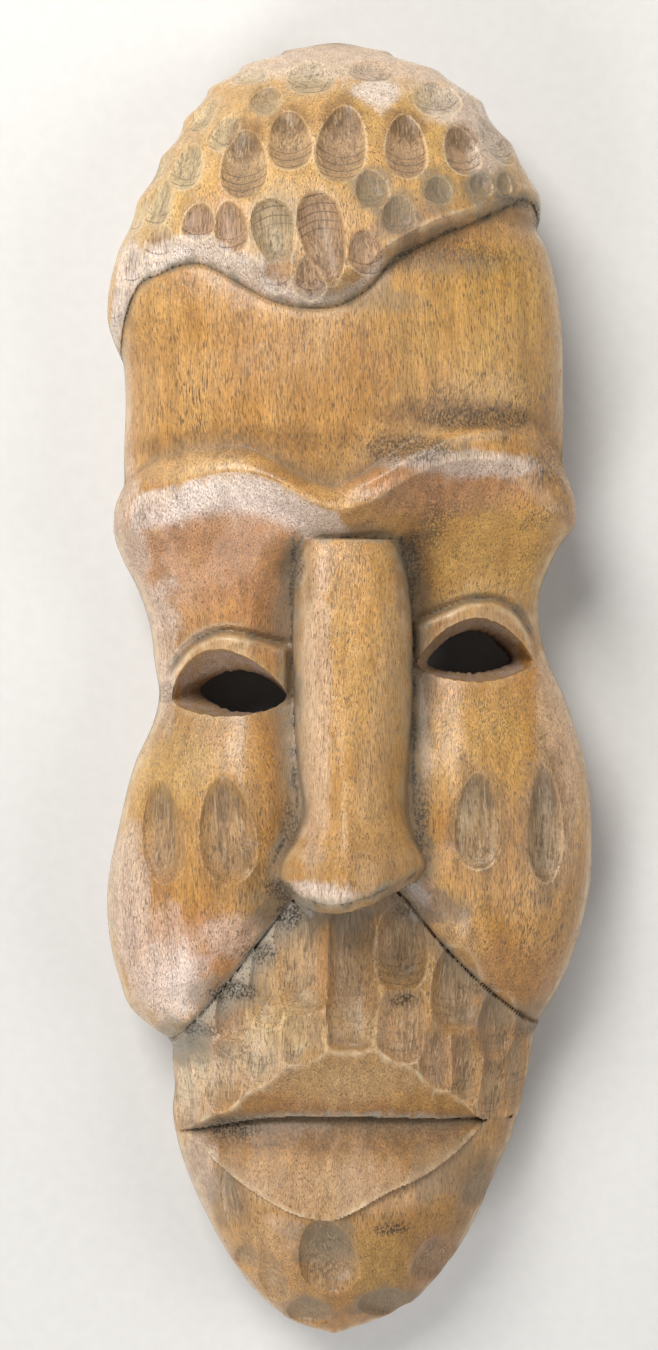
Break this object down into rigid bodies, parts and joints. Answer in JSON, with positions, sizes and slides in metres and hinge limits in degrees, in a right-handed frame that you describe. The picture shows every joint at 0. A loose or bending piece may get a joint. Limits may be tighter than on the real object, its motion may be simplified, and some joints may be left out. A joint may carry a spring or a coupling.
{
  "type": "wooden mask",
  "caption": "Long carved wooden face mask with a hollow back, gouged hair and beard, a long flared nose and eye slits cut right through.",
  "frame": {"origin": "centre of the flat back rim's plane, under the middle of the bounding box, where the mask lies on a table", "axes": "+Y along the face to the top of the hair, +Z out of the face, +X to the right of someone who looks at the face"},
  "size_m": [0.1424, 0.38, 0.0739],
  "materials": {
    "varnished_wood": "varnished honey-brown hardwood with dark pores, worn edges and dirt in the creases"
  },
  "bodies": {
    "root": {"carved_mask": "varnished_wood"}
  },
  "joints": []
}
